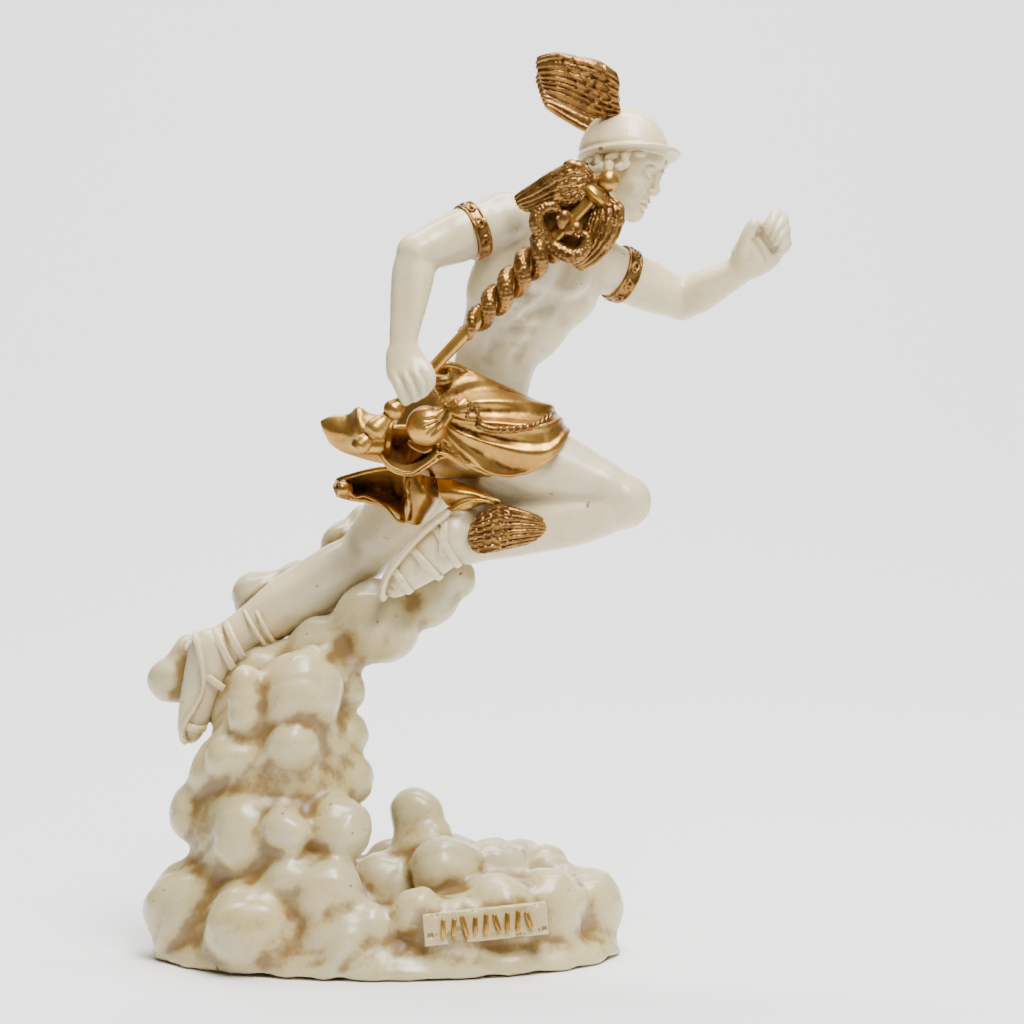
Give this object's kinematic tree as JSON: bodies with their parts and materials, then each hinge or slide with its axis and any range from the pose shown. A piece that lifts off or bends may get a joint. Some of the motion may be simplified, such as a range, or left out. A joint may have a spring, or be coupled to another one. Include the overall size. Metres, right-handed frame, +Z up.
{
  "type": "running messenger god figurine",
  "caption": "Cast resin figurine of a winged-helmeted messenger god running on a bank of cloud, with gold-painted kilt, wings and snake staff, for display on a shelf or desk.",
  "frame": {"origin": "centre of the flat underside of the cloud base", "axes": "+Z up, +X the way the figure runs, the front view looks along +Y"},
  "size_m": [0.2078, 0.0971, 0.2891],
  "materials": {
    "ivory_resin": "cast ivory resin with a brown wash in the hollows",
    "ivory_resin_figure": "cast ivory resin, satin, with gold paint on cloth, wings and bands",
    "gold_paint": "antique gold paint over resin, worn dark in the hollows"
  },
  "bodies": {
    "root": {"cloud_base": "ivory_resin", "figure": "ivory_resin_figure", "staff": "gold_paint"}
  },
  "joints": []
}
